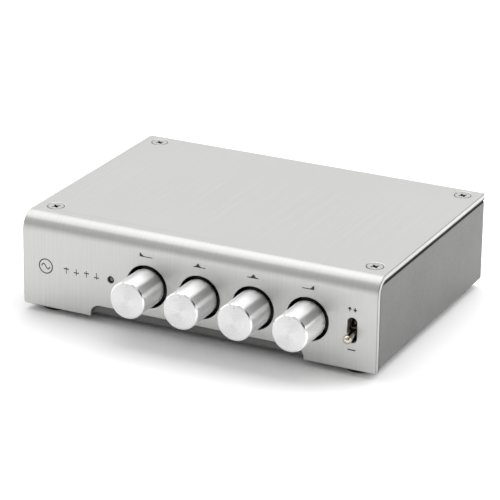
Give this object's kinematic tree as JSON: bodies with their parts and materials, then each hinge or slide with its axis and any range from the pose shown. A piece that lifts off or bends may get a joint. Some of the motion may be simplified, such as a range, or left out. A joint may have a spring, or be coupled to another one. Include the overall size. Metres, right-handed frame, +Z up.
{
  "type": "desktop tone control amplifier",
  "caption": "Low metal desktop audio box: folded aluminium front and top over a grey tray, round control knobs and a lever switch in front, signal sockets behind.",
  "frame": {"origin": "centre of the whole object's box in plan, on the plane that the feet stand on", "axes": "+X to the right seen from the front, +Y from the front panel to the rear panel, +Z up"},
  "size_m": [0.127, 0.1118, 0.0335],
  "materials": {
    "cover_aluminium": "brushed across the width, clear anodised",
    "tray_paint": "satin grey paint",
    "screw_steel": "zinc plated",
    "foot_rubber": "matt black",
    "knob_aluminium": "fine turned, clear anodised",
    "black_plastic": "moulded",
    "switch_plastic": "moulded",
    "bright_steel": "turned",
    "lever_nickel": "polished nickel",
    "led_lens": "clear lens, unlit",
    "tinned_pins": "tinned",
    "gold_plating": "gold plated",
    "white_plastic": "moulded",
    "red_plastic": "moulded",
    "board_resin": "solder mask",
    "capacitor_film": "dipped",
    "capacitor_sleeve": "shrink sleeve",
    "ferrite": "ferrite bobbin",
    "relay_plastic": "moulded",
    "resistor_lacquer": "lacquered"
  },
  "bodies": {
    "case": {"top_front_cover": "cover_aluminium", "chassis_tray": "tray_paint", "rear_panel": "tray_paint", "cover_screws": "screw_steel", "cover_clinch_nuts": "screw_steel", "main_board": "board_resin", "board_standoffs": "bright_steel", "board_screws": "screw_steel", "bypass_switch_housing": "switch_plastic", "bypass_switch_bushing": "bright_steel", "power_switch_housing": "switch_plastic", "power_switch_bushing": "bright_steel", "status_led": "led_lens", "component_pins": "tinned_pins", "white_jack_insulators": "white_plastic", "red_jack_insulators": "red_plastic", "jack_contacts": "gold_plating", "power_inlet_housing": "black_plastic", "power_inlet_pin": "bright_steel", "film_capacitors": "capacitor_film", "filter_inductors": "ferrite", "electrolytic_capacitors": "capacitor_sleeve", "power_semiconductors": "black_plastic", "signal_relays": "relay_plastic", "amplifier_chips": "black_plastic", "resistors": "resistor_lacquer", "foot_front_left": "foot_rubber", "foot_front_right": "foot_rubber", "foot_rear_left": "foot_rubber", "foot_rear_right": "foot_rubber", "bass_pot_housing": "black_plastic", "bass_pot_collar": "bright_steel", "low_mid_pot_housing": "black_plastic", "low_mid_pot_collar": "bright_steel", "high_mid_pot_housing": "black_plastic", "high_mid_pot_collar": "bright_steel", "treble_pot_housing": "black_plastic", "treble_pot_collar": "bright_steel", "input_left_jack_housing": "black_plastic", "input_left_jack_shell": "gold_plating", "input_right_jack_housing": "black_plastic", "input_right_jack_shell": "gold_plating", "output_left_jack_housing": "black_plastic", "output_left_jack_shell": "gold_plating", "output_right_jack_housing": "black_plastic", "output_right_jack_shell": "gold_plating"},
    "bass_control": {"bass_knob": "knob_aluminium", "bass_knob_insert": "black_plastic", "bass_pot_shaft": "bright_steel"},
    "low_mid_control": {"low_mid_knob": "knob_aluminium", "low_mid_knob_insert": "black_plastic", "low_mid_pot_shaft": "bright_steel"},
    "high_mid_control": {"high_mid_knob": "knob_aluminium", "high_mid_knob_insert": "black_plastic", "high_mid_pot_shaft": "bright_steel"},
    "treble_control": {"treble_knob": "knob_aluminium", "treble_knob_insert": "black_plastic", "treble_pot_shaft": "bright_steel"},
    "bypass_lever": {"bypass_switch_lever": "lever_nickel"},
    "power_lever": {"power_switch_lever": "lever_nickel"}
  },
  "joints": [
    {"name": "bass_turn", "type": "hinge", "parent": "case", "child": "bass_control", "pos_m": [-0.0176, -0.0365, 0.0161], "axis": [0, 1, 0], "range_deg": [-150, 150]},
    {"name": "low_mid_turn", "type": "hinge", "parent": "case", "child": "low_mid_control", "pos_m": [0.00145, -0.0365, 0.0161], "axis": [0, 1, 0], "range_deg": [-150, 150]},
    {"name": "high_mid_turn", "type": "hinge", "parent": "case", "child": "high_mid_control", "pos_m": [0.0205, -0.0365, 0.0161], "axis": [0, 1, 0], "range_deg": [-150, 150]},
    {"name": "treble_turn", "type": "hinge", "parent": "case", "child": "treble_control", "pos_m": [0.03955, -0.0365, 0.0161], "axis": [0, 1, 0], "range_deg": [-150, 150]},
    {"name": "bypass_flick", "type": "hinge", "parent": "case", "child": "bypass_lever", "pos_m": [0.0549, -0.0345, 0.0156], "axis": [-1, 0, 0], "range_deg": [0, 21]},
    {"name": "power_flick", "type": "hinge", "parent": "case", "child": "power_lever", "pos_m": [0.048, 0.0384, 0.0156], "axis": [1, 0, 0], "range_deg": [0, 21]}
  ]
}
